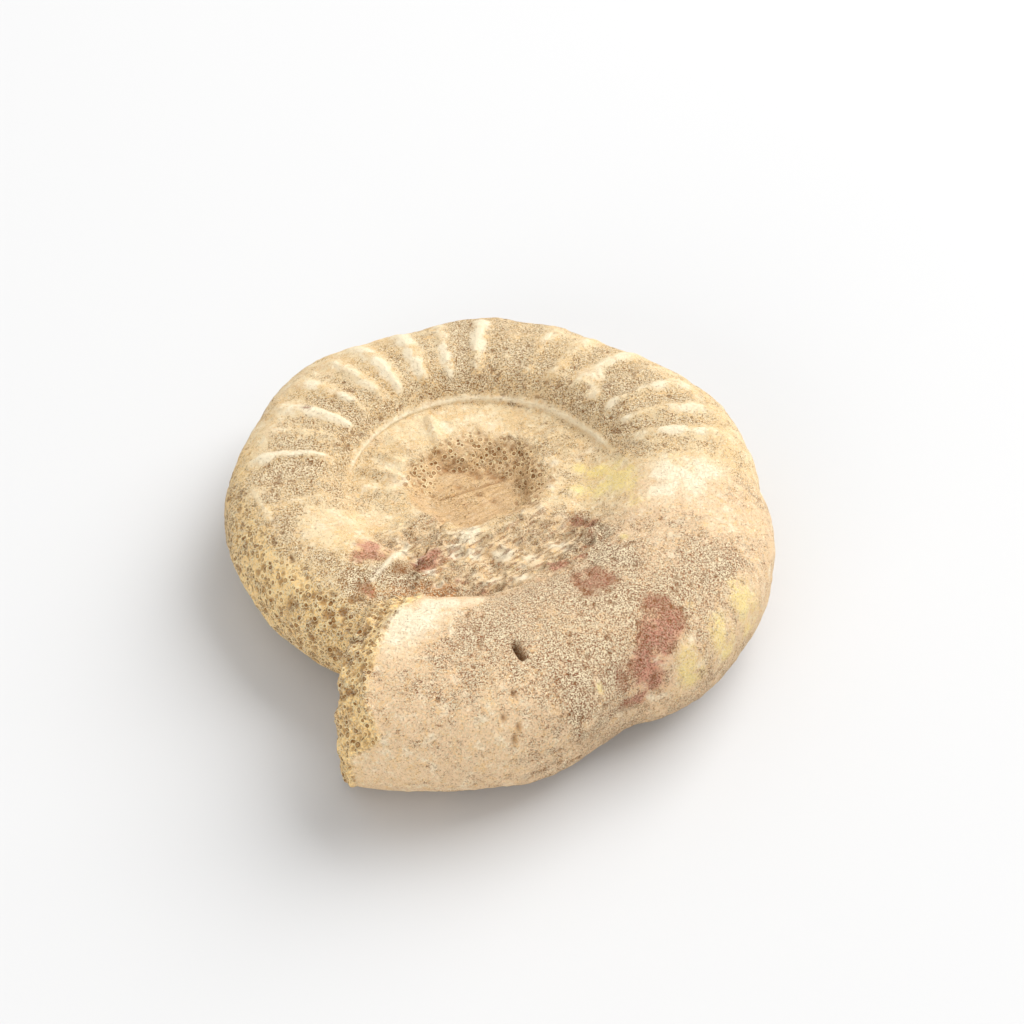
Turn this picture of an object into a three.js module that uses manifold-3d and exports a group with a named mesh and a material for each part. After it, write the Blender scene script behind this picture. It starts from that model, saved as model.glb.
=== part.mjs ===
// Ammonite fossil: one solid piece of worn limestone, the cast of a flat coiled shell, lying on its side.
// Millimetres, +Z up. It rests on z = 0, with the middle of its box over the origin.
//
// The shell is a tube that coils in one plane and widens by the same factor every turn, so all of its
// cross-sections are one shape at different sizes. Two angles name any place on its surface:
//   turn    round the coil, counted from the broken end back towards the centre
//   around  round the tube: 0 on the outer edge, 90 degrees on the upper crest, 180 degrees on the
//           inner edge, and negative on the underside
// Each whorl grips the one inside it, and the line where the two meet is their seam.

import * as THREE from "three";
import { mergeVertices } from "three/addons/utils/BufferGeometryUtils.js";
import Module from "manifold-3d";

const { degToRad, euclideanModulo, smoothstep } = THREE.MathUtils;
const FULL_TURN = 2 * Math.PI;

// The coil
const END_RADIUS = 62; // from the coil's axis to its outer edge, at the broken end
const END_AZIMUTH = degToRad(-112); // where the broken end faces out, counter-clockwise from +X
const WIDENING = 1.48; // how much larger each whorl is than the one inside it
const WHORLS = 3; // whorls that still show; the ones inside them are worn into a pit
const PIT_HALF_HEIGHT = 2; // half of the stone's thickness at the middle of the pit
const INNER_WEAR = 0.25; // how much of their upper half the inner whorls have lost
const INNER_WEAR_FROM = degToRad(335); // that wear begins at this turn
const INNER_WEAR_FULL = degToRad(395); // and is full from this one

// The tube's section, as shares of the coil's radius at that place
const CREST = 0.685; // where the tube is thickest
const OUTER_HALF = 0.315; // from the crest out to the edge
const INNER_HALF = 0.21; // from the crest in to the tube's inner wall
const HALF_THICKNESS = 0.235;
const ROUNDNESS = 2.5; // 2 would be an ellipse, and more is squarer

// The ribs that cross the flanks, of which one has its crest at the broken end
const RIBS_PER_TURN = 36;
const RIB_RELIEF = 0.9; // from groove to crest, on the upper flank of the outer whorl
const EDGE_RIB_SHARE = 0.15; // how much of that relief is left on the outer edge
const UNDER_RIB_SHARE = 0.35; // and on the underside, which is worn too
const SMOOTH_UNTIL = degToRad(80); // the end of the shell is worn smooth up to this turn
const RIBBED_FROM = degToRad(130); // and the ribs have their full relief from this one
const RIB_FADE = degToRad(100); // round the tube, ribs fade from here to the inner seam

// The broken end
const END_SLANT = 0.16; // how far the break leans forward for each mm in towards the axis
const END_SLANT_RADIUS = 55; // the radius where that slant is zero
const END_BEVEL = 5; // how far the upper rim of the break is worn back
const BEVEL_FROM = 0.3; // the share of the tube's height where that wear begins
const CORNER_BEVEL = 3.7; // how far the break's outer corner is worn back
const CORNER_FROM = 0.9; // the share of the coil's radius where that wear begins
const END_REACH = degToRad(24); // how far along the coil the break's wear is felt
const END_INNER_RADIUS = 22; // it is felt on nothing nearer to the axis than this
const END_FULL_RADIUS = 34; // and in full from this radius outwards

// How it rests
const LIFTED_AZIMUTH = degToRad(-72); // the side where the tube is thickest, which lies highest
const REST_TILT = degToRad(2.4); // how far the coil leans
const GROUND_WEAR = 1.6; // depth of the flat patch worn on the underside
const CUTTER_SIZE = 400; // of the block that cuts the flat patch, larger than the shell all round

// The mesh
const SEAM_HALVINGS = 40; // more than enough for the seam to be exact
const ROWS_PER_TURN = 4 * RIBS_PER_TURN;
const EDGE_STATIONS = 4; // from the outer edge to the outer seam
const FLANK_STATIONS = 4; // from the outer seam to the inner seam
const OUTER_SEAM = EDGE_STATIONS;
const INNER_SEAM = EDGE_STATIONS + FLANK_STATIONS;

const coilRadius = (turn) => END_RADIUS * WIDENING ** (-turn / FULL_TURN);

const rounded = (value) => Math.sign(value) * Math.abs(value) ** (2 / ROUNDNESS);

// The tube's section, in shares of the coil's radius: how far out, and how high.
function section(around) {
  const across = rounded(Math.cos(around));
  const half = across > 0 ? OUTER_HALF : INNER_HALF;
  return { out: CREST + half * across, up: HALF_THICKNESS * rounded(Math.sin(around)) };
}

// The angle on the outer half of the section that is as far out as this share of the radius.
function aroundAt(share) {
  return Math.acos(((share - CREST) / OUTER_HALF) ** (ROUNDNESS / 2));
}

// The seam, by halving: a whorl's inner wall comes down until it meets the flank of the whorl inside it.
function findSeam() {
  let high = Math.PI / 2;
  let low = Math.PI;
  let seat = 0;
  for (let i = 0; i < SEAM_HALVINGS; i++) {
    const middle = (high + low) / 2;
    const wall = section(middle);
    seat = aroundAt(wall.out * WIDENING);
    if (wall.up > section(seat).up / WIDENING) high = middle;
    else low = middle;
  }
  return { innerWall: high, outerFlank: seat };
}

const seam = findSeam();

// The section angle of a station: stations are even steps from seam to seam, and count down on the underside.
function stationAngle(station) {
  const step = Math.abs(station);
  const angle =
    step <= OUTER_SEAM
      ? (seam.outerFlank * step) / EDGE_STATIONS
      : seam.outerFlank + ((seam.innerWall - seam.outerFlank) * (step - OUTER_SEAM)) / FLANK_STATIONS;
  return Math.sign(station) * angle;
}

// How far a rib or groove swells or shrinks the section at this place, as a share of the section's size.
function ribSwell(turn, around) {
  const wave = (1 + Math.cos(RIBS_PER_TURN * turn)) / 2;
  const onFlank = smoothstep(Math.abs(around), 0, seam.outerFlank);
  const offWall = 1 - smoothstep(Math.abs(around), RIB_FADE, seam.innerWall);
  const kept = around > 0 ? smoothstep(turn, SMOOTH_UNTIL, RIBBED_FROM) : UNDER_RIB_SHARE;
  const relief = (EDGE_RIB_SHARE + (1 - EDGE_RIB_SHARE) * onFlank) * offWall * kept;
  return (RIB_RELIEF / (HALF_THICKNESS * END_RADIUS)) * (wave - 0.5) * relief;
}

// How far the break's wear pushes a point back along the coil, which fades with distance from the break.
function endShift(radius, height, turn) {
  const away = Math.abs(euclideanModulo(turn + Math.PI, FULL_TURN) - Math.PI);
  const slant = END_SLANT * (radius - END_SLANT_RADIUS);
  const bevel = END_BEVEL * smoothstep(height / (HALF_THICKNESS * END_RADIUS), BEVEL_FROM, 1);
  const corner = CORNER_BEVEL * smoothstep(radius / END_RADIUS, CORNER_FROM, 1);
  const felt = smoothstep(radius, END_INNER_RADIUS, END_FULL_RADIUS) * (1 - smoothstep(away, 0, END_REACH));
  return (slant + bevel + corner) * felt;
}

function surfacePoint(turn, around) {
  const size = coilRadius(turn);
  const { out, up } = section(around);
  const swell = 1 + ribSwell(turn, around);
  const radius = size * (CREST + (out - CREST) * swell);
  const worn = around > 0 ? INNER_WEAR * smoothstep(turn, INNER_WEAR_FROM, INNER_WEAR_FULL) : 0;
  const height = size * up * swell * (1 - worn);
  const azimuth = END_AZIMUTH + turn + endShift(radius, height, turn) / radius;
  return new THREE.Vector3(radius * Math.cos(azimuth), radius * Math.sin(azimuth), height);
}

// The closed surface. A vertex is named by its row, counted along the coil, and its station round the tube.
class ShellMesh {
  points = [];
  triangles = [];
  numbers = new Map();

  addPoint(point) {
    this.points.push(point.x, point.y, point.z);
    return this.points.length / 3 - 1;
  }

  // A whorl's inner seam is the outer seam of the whorl inside it, one turn further in.
  vertex(row, station) {
    if (Math.abs(station) === INNER_SEAM) {
      return this.vertex(row + ROWS_PER_TURN, Math.sign(station) * OUTER_SEAM);
    }
    const key = `${row}/${station}`;
    if (!this.numbers.has(key)) {
      const point = surfacePoint((FULL_TURN * row) / ROWS_PER_TURN, stationAngle(station));
      this.numbers.set(key, this.addPoint(point));
    }
    return this.numbers.get(key);
  }

  // The surface between a row and the next one, from one station to another.
  addStrip(row, from, to) {
    for (let station = from; station < to; station++) {
      const here = this.vertex(row, station);
      const next = this.vertex(row + 1, station);
      const nextIn = this.vertex(row + 1, station + 1);
      const hereIn = this.vertex(row, station + 1);
      this.triangles.push(here, next, nextIn, here, nextIn, hereIn);
    }
  }

  // The outer whorl is bare from inner seam to inner seam. The whorls inside it show only their flanks.
  addWhorls() {
    for (let row = 0; row < ROWS_PER_TURN; row++) this.addStrip(row, -INNER_SEAM, INNER_SEAM);
    for (let row = ROWS_PER_TURN; row < WHORLS * ROWS_PER_TURN; row++) {
      this.addStrip(row, OUTER_SEAM, INNER_SEAM);
      this.addStrip(row, -INNER_SEAM, -OUTER_SEAM);
    }
  }

  // The broken end: the outer whorl's whole section, less the part that the whorl inside it fills.
  addBrokenEnd() {
    const rim = [];
    for (let station = -INNER_SEAM; station < INNER_SEAM; station++) rim.push(this.vertex(0, station));
    for (let station = OUTER_SEAM; station > -OUTER_SEAM; station--) {
      rim.push(this.vertex(ROWS_PER_TURN, station));
    }
    const flat = rim.map((number) => {
      const [x, y, z] = this.points.slice(3 * number, 3 * number + 3);
      return new THREE.Vector2(Math.hypot(x, y), z);
    });
    for (const corners of THREE.ShapeUtils.triangulateShape(flat, [])) {
      this.triangles.push(...corners.map((corner) => rim[corner]));
    }
  }

  // The worn pit, above (side 1) or below (side -1): a shallow cone inside the last seam, which also closes
  // the end of the last whorl.
  addPit(side) {
    const lastRow = WHORLS * ROWS_PER_TURN;
    const rim = [];
    for (let row = lastRow; row <= lastRow + ROWS_PER_TURN; row++) {
      rim.push(this.vertex(row, side * OUTER_SEAM));
    }
    for (let station = INNER_SEAM - 1; station >= OUTER_SEAM; station--) {
      rim.push(this.vertex(lastRow, side * station));
    }
    if (side < 0) rim.reverse();
    const centre = this.addPoint(new THREE.Vector3(0, 0, side * PIT_HALF_HEIGHT));
    for (let i = 0; i + 1 < rim.length; i++) this.triangles.push(centre, rim[i], rim[i + 1]);
  }
}

function shellGeometry() {
  const mesh = new ShellMesh();
  mesh.addWhorls();
  mesh.addBrokenEnd();
  mesh.addPit(1);
  mesh.addPit(-1);
  const geometry = new THREE.BufferGeometry();
  geometry.setAttribute("position", new THREE.Float32BufferAttribute(mesh.points, 3));
  geometry.setIndex(mesh.triangles);
  return geometry;
}

const wasm = await Module();
wasm.setup();

// A closed geometry as a solid. Its faces must share their vertices, so only positions are kept.
function toSolid(geometry) {
  geometry.deleteAttribute("normal");
  geometry.deleteAttribute("uv");
  const merged = mergeVertices(geometry);
  const vertProperties = new Float32Array(merged.getAttribute("position").array);
  const triVerts = new Uint32Array(merged.index.array);
  return new wasm.Manifold(new wasm.Mesh({ numProp: 3, vertProperties, triVerts }));
}

function toGeometry(solid) {
  const { vertProperties, triVerts } = solid.getMesh();
  const geometry = new THREE.BufferGeometry();
  geometry.setAttribute("position", new THREE.BufferAttribute(vertProperties, 3));
  geometry.setIndex(new THREE.BufferAttribute(triVerts, 1));
  return geometry;
}

// The shell as it rests: its thick side is lifted until the underside lies level, and the lowest part is
// worn off flat at z = 0.
function restingGeometry() {
  const shell = shellGeometry();
  const towardsLifted = new THREE.Vector3(Math.cos(LIFTED_AZIMUTH), Math.sin(LIFTED_AZIMUTH), 0);
  const levelLine = towardsLifted.cross(new THREE.Vector3(0, 0, 1));
  shell.applyMatrix4(new THREE.Matrix4().makeRotationAxis(levelLine, REST_TILT));
  shell.computeBoundingBox();
  shell.translate(0, 0, -shell.boundingBox.min.z - GROUND_WEAR);

  const ground = new THREE.BoxGeometry(CUTTER_SIZE, CUTTER_SIZE, CUTTER_SIZE);
  ground.translate(0, 0, -CUTTER_SIZE / 2);
  const resting = toGeometry(toSolid(shell).subtract(toSolid(ground)));

  resting.computeBoundingBox();
  const middle = resting.boundingBox.getCenter(new THREE.Vector3());
  resting.translate(-middle.x, -middle.y, 0);
  return resting;
}

const limestone = new THREE.MeshStandardMaterial({ color: 0xe2cca2, roughness: 0.92, metalness: 0 });
const ammonite = new THREE.Mesh(restingGeometry(), limestone);
ammonite.name = "ammonite";

const group = new THREE.Group();
group.add(ammonite);

export default group;
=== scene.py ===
"""Ammonite fossil: the looks of one piece of worn limestone, the cast of a flat coiled shell.

The CAD node gives the size and the place. This script sweeps the same coil, makes it one fine mesh, and
carves ribs, wear, pits and grain into it. Shapes are worked out in millimetres and turned into metres at
the end. A place on the stone is named by its azimuth in degrees round the coil's axis, counter-clockwise
from +X, and by its reach: its distance from that axis as a share of the coil's radius at the broken end.
Its share is that distance as a share of the outer whorl's radius at that azimuth.
"""

import itertools
import math

import bpy
import numpy as np
from mathutils import Matrix, Vector


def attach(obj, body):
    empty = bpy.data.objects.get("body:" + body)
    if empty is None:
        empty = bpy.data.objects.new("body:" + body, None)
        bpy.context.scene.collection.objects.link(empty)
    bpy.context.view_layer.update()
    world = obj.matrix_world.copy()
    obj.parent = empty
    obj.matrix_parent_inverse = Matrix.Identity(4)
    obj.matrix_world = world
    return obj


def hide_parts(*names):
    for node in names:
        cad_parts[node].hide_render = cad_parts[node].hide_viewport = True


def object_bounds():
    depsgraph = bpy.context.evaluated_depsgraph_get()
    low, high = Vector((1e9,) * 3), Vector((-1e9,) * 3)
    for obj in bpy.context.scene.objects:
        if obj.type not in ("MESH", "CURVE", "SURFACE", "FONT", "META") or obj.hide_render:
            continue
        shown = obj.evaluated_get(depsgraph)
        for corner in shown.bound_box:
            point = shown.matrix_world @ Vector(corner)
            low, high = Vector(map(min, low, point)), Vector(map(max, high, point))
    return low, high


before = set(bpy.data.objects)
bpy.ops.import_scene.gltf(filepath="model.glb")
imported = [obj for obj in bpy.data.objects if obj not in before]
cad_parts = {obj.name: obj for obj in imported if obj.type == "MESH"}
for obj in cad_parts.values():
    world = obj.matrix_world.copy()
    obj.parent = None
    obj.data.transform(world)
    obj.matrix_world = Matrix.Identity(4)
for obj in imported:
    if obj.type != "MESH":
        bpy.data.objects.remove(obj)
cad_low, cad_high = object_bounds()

MM = 0.001
FULL_TURN = 2 * math.pi

# The coil, as in the CAD: lengths are shares of its radius at the broken end
END_AZIMUTH = math.radians(-112)
WIDENING = 1.48
CREST = 0.685
OUTER_HALF = 0.315
INNER_HALF = 0.21
HALF_THICKNESS = 0.235
ROUNDNESS = 2.5
INNER_WEAR = 0.25  # how much of its upper half the second whorl has lost, and those inside it
INNER_WEAR_TURNS = (math.radians(335), math.radians(395))
SEAM = 0.51  # where a whorl meets the one inside it, as a share of the whorl's own radius
LIFTED_AZIMUTH = math.radians(-72)
REST_TILT = math.radians(2.4)

# The wear of the broken end. Pairs say where it begins and where it is full: by reach, by share of the tube's
# height, or by the size of a section within the tube's own
END_SLANT = 0.16
END_SLANT_REACH = 0.89
END_BEVEL = 0.085
BEVEL_SIZES = (0.72, 1)
BEVEL_HEIGHTS = (0.1, 0.5)
SEAM_BEVEL = 0.05
SEAM_BEVEL_REACHES = (0.55, 0.72)
CORNER_BEVEL = 0.06
CORNER_REACHES = (0.9, 1)
END_TURN = math.radians(24)  # how far along the coil that wear is felt

# The mesh
SWEPT_WHORLS = 5
ROWS_PER_WHORL = 200
CAP_RINGS = 30
STATIONS = 96
PLUG_REACH = 0.2
PLUG_HALF_HEIGHT = 0.04
PLUG_SIDES = 48
VOXEL = 0.33
SMOOTHING_PASSES = 14
MOST_TRIANGLES = 195000


def smoothstep(value, low, high):
    part = np.clip((value - low) / (high - low), 0, 1)
    return part * part * (3 - 2 * part)


def bell(distance, width):
    return np.exp(-((distance / width) ** 2))


# ---- Noise that is the same on every run -----------------------------------------------------------------

HASH_FACTORS = np.array([374761393, 668265263, 2147483647], np.uint32)
HASH_MIXER = np.uint32(1274126177)
HASH_SHIFT = np.uint32(13)
HASH_ROUNDS = 3
HASH_MASK = 0xFFFFFFFF
AXES = 3
CORNERS = list(itertools.product((0, 1), repeat=AXES))
NEIGHBOURS = list(itertools.product((-1, 0, 1), repeat=AXES))


def hashed(cells, seed):
    """A number from 0 to 1 for each whole-numbered cell, scattered but always the same."""
    keys = (cells.astype(np.int64) & HASH_MASK).astype(np.uint32)
    mixed = (keys * HASH_FACTORS).sum(axis=-1, dtype=np.uint32) + np.uint32(seed) * HASH_MIXER
    for _ in range(HASH_ROUNDS):
        mixed ^= mixed >> HASH_SHIFT
        mixed *= HASH_MIXER
    return mixed / (HASH_MASK + 1.0)


def lumps(points, size, seed):
    """Smooth noise from -1 to 1, whose lumps are about this size."""
    scaled = points / size
    base = np.floor(scaled)
    part = smoothstep(scaled - base, 0, 1)
    total = np.zeros(len(points))
    for corner in CORNERS:
        weight = np.where(corner, part, 1 - part).prod(axis=1)
        total += weight * hashed(base + corner, seed)
    return 2 * total - 1


def streaks(points, degrees, length, width, seed):
    """Smooth noise from -1 to 1, drawn out in one level direction."""
    angle = math.radians(degrees)
    along = points[:, :2] @ (math.cos(angle), math.sin(angle))
    aside = points[:, :2] @ (math.sin(angle), -math.cos(angle))
    drawn_out = np.stack([along / length, aside / width, points[:, 2] / width], axis=1)
    return lumps(drawn_out, 1, seed)


def layered(points, size, seed, layers=3):
    """Lumps with smaller lumps on them, each layer half the size and height of the last."""
    total = sum(lumps(points, size / 2**i, seed + i) / 2**i for i in range(layers))
    return total / (2 - 2 ** (1 - layers))


def ridged(noise):
    """Turns smooth noise into sharp crests with round hollows between them."""
    return 0.5 - np.abs(noise)


def nearest_seed(points, size, seed):
    """The distance to the nearest of the points strewn one to a cell, in cells, and that point's number."""
    scaled = points / size
    base = np.floor(scaled)
    nearest = np.full(len(points), np.inf)
    number = np.zeros(len(points))
    for neighbour in NEIGHBOURS:
        cell = base + neighbour
        strewn = np.stack([hashed(cell, seed + axis) for axis in range(AXES)], axis=1)
        distance = np.linalg.norm(cell + strewn - scaled, axis=1)
        closer = distance < nearest
        nearest[closer] = distance[closer]
        number[closer] = hashed(cell[closer], seed + AXES)
    return nearest, number


# ---- The plain coil --------------------------------------------------------------------------------------


def rounded(value):
    return np.sign(value) * np.abs(value) ** (2 / ROUNDNESS)


def coil_radius(turn):
    return WIDENING ** (-turn / FULL_TURN)


def section_size(radius, height):
    """The size of the section that passes through a place in the tube: 1 is its skin, and 0 its middle."""
    half = np.where(radius > CREST, OUTER_HALF, INNER_HALF)
    powers = np.abs((radius - CREST) / half) ** ROUNDNESS + np.abs(height / HALF_THICKNESS) ** ROUNDNESS
    return powers ** (1 / ROUNDNESS)


def end_shift(radius, height, size):
    """How far the wear of the broken end pushes a point back along the coil, in a section of this size."""
    slant = END_SLANT * (radius - END_SLANT_REACH)
    bevel = END_BEVEL + SEAM_BEVEL * (1 - smoothstep(radius, *SEAM_BEVEL_REACHES))
    bevel = bevel * smoothstep(size, *BEVEL_SIZES) * smoothstep(height / HALF_THICKNESS, *BEVEL_HEIGHTS)
    corner = CORNER_BEVEL * smoothstep(radius, *CORNER_REACHES)
    return slant + bevel + corner


def tube_points():
    """The coiled tube, a row of points for each step along it, after the rings that close its broken end."""
    rows = SWEPT_WHORLS * ROWS_PER_WHORL
    turn = np.concatenate([np.zeros(CAP_RINGS), np.linspace(0, SWEPT_WHORLS * FULL_TURN, rows)])[:, None]
    size = np.concatenate([np.arange(1, CAP_RINGS + 1) / (CAP_RINGS + 1), np.ones(rows)])[:, None]
    around = np.arange(STATIONS) * FULL_TURN / STATIONS
    across = rounded(np.cos(around))
    up = rounded(np.sin(around))
    out = CREST + size * across * np.where(across > 0, OUTER_HALF, INNER_HALF)
    kept = 1 - INNER_WEAR * smoothstep(turn, *INNER_WEAR_TURNS) * (up > 0)
    radius = coil_radius(turn) * out
    height = coil_radius(turn) * size * HALF_THICKNESS * up * kept
    shift = end_shift(radius, height, size) * (1 - smoothstep(turn, 0, END_TURN))
    azimuth = END_AZIMUTH + turn + shift / radius
    return np.stack([radius * np.cos(azimuth), radius * np.sin(azimuth), height], axis=-1)


def tube_faces(rows):
    """The tube's faces and its two ends, for rows of points that follow each other."""
    number = np.arange(rows * STATIONS).reshape(rows, STATIONS)
    beside = np.roll(number, -1, axis=1)
    quads = np.stack([number[:-1], number[1:], beside[1:], beside[:-1]], axis=-1).reshape(-1, 4)
    return quads.tolist() + [number[0].tolist(), number[-1][::-1].tolist()]


def plug(first):
    """Points and faces of a double cone that closes the hole in the coil's middle, numbered from first."""
    angle = np.arange(PLUG_SIDES) * FULL_TURN / PLUG_SIDES
    ring = np.stack([PLUG_REACH * np.cos(angle), PLUG_REACH * np.sin(angle), 0 * angle], axis=1)
    tips = [[0, 0, PLUG_HALF_HEIGHT], [0, 0, -PLUG_HALF_HEIGHT]]
    top = first + PLUG_SIDES
    bottom = top + 1
    faces = []
    for i in range(PLUG_SIDES):
        here = first + i
        after = first + (i + 1) % PLUG_SIDES
        faces += [[here, after, top], [after, here, bottom]]
    return np.concatenate([ring, tips]), faces


def coil_surface():
    """Points and faces of the closed tube, and of the plug in its middle."""
    grid = tube_points()
    tube = grid.reshape(-1, 3)
    plug_points, plug_faces = plug(len(tube))
    return np.concatenate([tube, plug_points]), tube_faces(len(grid)) + plug_faces


class Rest:
    """How the coil lies: the turn, size and shift between its own frame and the part's, in millimetres."""

    def __init__(self, coil_points):
        towards_lifted = Vector((math.cos(LIFTED_AZIMUTH), math.sin(LIFTED_AZIMUTH), 0))
        level_line = towards_lifted.cross(Vector((0, 0, 1)))
        self.turned = np.array(Matrix.Rotation(REST_TILT, 3, level_line))
        lying = coil_points @ self.turned.T
        low = np.array(cad_low) / MM
        high = np.array(cad_high) / MM
        self.radius = (high[1] - low[1]) / np.ptp(lying[:, 1])
        middle = (lying.max(axis=0) + lying.min(axis=0)) / 2 * self.radius
        top = lying[:, 2].max() * self.radius
        self.shift = np.array([*((low + high) / 2 - middle)[:2], high[2] - top])

    def lay(self, coil_points):
        return coil_points @ self.turned.T * self.radius + self.shift

    def unlay(self, points):
        return (points - self.shift) @ self.turned / self.radius


# ---- Meshes ----------------------------------------------------------------------------------------------


def read_vectors(collection, name):
    values = np.empty(3 * len(collection), np.float32)
    collection.foreach_get(name, values)
    return values.reshape(-1, 3).astype(float)


def write_positions(mesh, points):
    mesh.vertices.foreach_set("co", points.astype(np.float32).ravel())
    mesh.update()


def with_modifiers(thing):
    """Replaces the object's mesh by what its modifiers make of it, and drops them."""
    evaluated = thing.evaluated_get(bpy.context.evaluated_depsgraph_get())
    made = bpy.data.meshes.new_from_object(evaluated)
    thing.modifiers.clear()
    thing.data = made
    return made


def even_mesh(thing):
    """One closed skin round all that the object holds, in even small faces, with its creases eased."""
    remesh = thing.modifiers.new("remesh", "REMESH")
    remesh.mode = "VOXEL"
    remesh.voxel_size = VOXEL
    smooth = thing.modifiers.new("smooth", "SMOOTH")
    smooth.iterations = SMOOTHING_PASSES
    return with_modifiers(thing)


def lighten(thing):
    """Fewer triangles where the surface is plain."""
    mesh = thing.data
    mesh.calc_loop_triangles()
    decimate = thing.modifiers.new("decimate", "DECIMATE")
    decimate.ratio = MOST_TRIANGLES / len(mesh.loop_triangles)
    return with_modifiers(thing)


# ---- Where things are ------------------------------------------------------------------------------------

PAST_END = 1.05  # a point this much further out than the whorl at its azimuth is on the broken end's side
SIDE_BLEND = 0.03  # how gently the upper side turns into the under side
SOFT_DEGREES = 9  # how gently a zone ends, along the coil and across it
SOFT_SHARE = 0.06

# The pit's rim, as azimuths and reaches, and how uneven it is
PIT_RIM = [
    (-104, 0.17), (-65, 0.18), (-30, 0.21), (14, 0.245), (85, 0.25), (125, 0.225), (162, 0.19),
    (215, 0.165),
]
RIM_UNEVENNESS = 0.16
RIM_LUMPS = (0.09, 31)  # size and seed


class Places:
    """Where each point lies on the coil, from its position in the coil's own frame."""

    def __init__(self, points):
        self.plan = points[:, :2]
        self.height = points[:, 2]
        self.reach = np.hypot(points[:, 0], points[:, 1])
        self.azimuth = np.degrees(np.arctan2(points[:, 1], points[:, 0]))
        turn = np.mod(np.radians(self.azimuth) - END_AZIMUTH, FULL_TURN)
        past_end = self.reach > PAST_END * coil_radius(turn)
        past_end |= self.height > PAST_END * HALF_THICKNESS * coil_radius(turn)
        self.turn = np.where(past_end, turn - FULL_TURN, turn)
        self.radius = coil_radius(self.turn)
        self.share = self.reach / self.radius
        whorl = np.maximum(np.ceil(np.log(SEAM / self.share) / math.log(WIDENING)), 0)
        self.outer = whorl == 0
        self.across = self.share * WIDENING**whorl  # its share of the radius of the whorl that it lies on
        self.upper = smoothstep(self.height, -SIDE_BLEND, SIDE_BLEND)
        self.depth = self.reach / pit_rim(points, self.azimuth)  # 0 in the pit's middle, and 1 on its rim
        size = section_size(self.reach, self.height)
        self.from_end = self.turn * self.reach - end_shift(self.reach, self.height, size)

    def away(self, azimuth):
        """Degrees from an azimuth, either way."""
        return np.abs((self.azimuth - azimuth + 180) % 360 - 180)

    def within(self, start, end, soft):
        """1 between two azimuths, counter-clockwise, and 0 beyond their soft edges."""
        half = ((end - start) % 360) / 2
        return 1 - smoothstep(self.away(start + half), half - soft, half + soft)

    def from_point(self, azimuth, reach):
        """The distance in plan from a place."""
        return np.linalg.norm(self.plan - plan_point(azimuth, reach), axis=1)

    def from_line(self, start, end):
        """The distance in plan from a straight line between two places."""
        first = plan_point(*start)
        along = plan_point(*end) - first
        part = np.clip((self.plan - first) @ along / (along @ along), 0, 1)
        return np.linalg.norm(self.plan - first - part[:, None] * along, axis=1)

    def zones(self, listed):
        """Soft patches that add up, each given by two azimuths, two shares and a strength."""
        total = np.zeros(len(self.plan))
        for start, end, near, far, strength in listed:
            across = smoothstep(self.share, near - SOFT_SHARE, near + SOFT_SHARE)
            across = across * (1 - smoothstep(self.share, far - SOFT_SHARE, far + SOFT_SHARE))
            total += strength * self.within(start, end, SOFT_DEGREES) * across
        return total

    def spots(self, listed, unit):
        """Soft round spots of the upper side: azimuth, reach, width in millimetres and strength."""
        total = np.zeros(len(self.plan))
        for azimuth, reach, width, strength in listed:
            total = np.maximum(total, strength * bell(self.from_point(azimuth, reach), width * unit))
        return total * self.upper


def pit_rim(points, azimuth):
    """The reach of the pit's rim beside each point."""
    angles, reaches = zip(*PIT_RIM)
    uneven = 1 + RIM_UNEVENNESS * layered(points * (1, 1, 0), *RIM_LUMPS)
    return np.interp(azimuth, angles, reaches, period=360) / uneven


def plan_point(azimuth, reach):
    angle = math.radians(azimuth)
    return reach * np.array([math.cos(angle), math.sin(angle)])


# ---- Large shapes: outline, pit and filled seam ----------------------------------------------------------

# Dents and bulges of the outer edge: azimuth, half width in degrees, and how far it stands out in millimetres
OUTLINE = [
    (-60, 9, -3.8), (-24, 14, 0.9), (0, 7, -1.2), (24, 8, 0.7), (55, 17, -2.5), (88, 12, 1.5),
    (107, 8, -0.7), (135, 13, 1.8), (210, 14, -0.6),
]
OUTLINE_SHARES = (0.72, 1)

# The worn middle of the upper side: a flat ring, and a pit whose wall rises between two depths. Heights are
# shares of the coil's radius
PLATEAU = 0.12
PLATEAU_SHARES = (0.40, 0.46)
PIT_FLOOR = 0.045
PIT_WALL = (0.6, 1.06)

# Stretches of the seam that are filled: two azimuths, how softly they end, and how full they are. A full one
# slopes evenly from the ring up to the whorl
FILLS = [(-75, 16, 12, 1), (16, 30, 12, 0.4), (178, 232, 14, 0.5)]
FILL_SHARES = (0.36, 0.62)
FILL_TOP = 0.225


def worn_shape(points, radius):
    """The coil with its uneven outline, its worn middle, and the stretches of seam that are filled."""
    places = Places(points)
    stands_out = sum(height * bell(places.away(azimuth), width) for azimuth, width, height in OUTLINE)
    stretch = 1 + stands_out / radius / places.reach * smoothstep(places.share, *OUTLINE_SHARES)
    worn = points * np.stack([stretch, stretch, np.ones(len(points))], axis=1)

    in_pit = 1 - smoothstep(places.depth, *PIT_WALL)
    middle = PLATEAU * places.radius * (1 - in_pit) + PIT_FLOOR * in_pit
    worn[:, 2] += (middle - places.height) * (1 - smoothstep(places.share, *PLATEAU_SHARES)) * places.upper

    slope = PLATEAU + (FILL_TOP - PLATEAU) * smoothstep(places.share, *FILL_SHARES)
    missing = np.maximum(places.radius * slope - worn[:, 2], 0) * (1 - in_pit) * places.upper
    missing *= places.share < FILL_SHARES[1]
    worn[:, 2] += missing * sum(full * places.within(start, end, soft) for start, end, soft, full in FILLS)
    return worn


# ---- Ribs ------------------------------------------------------------------------------------------------

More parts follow.
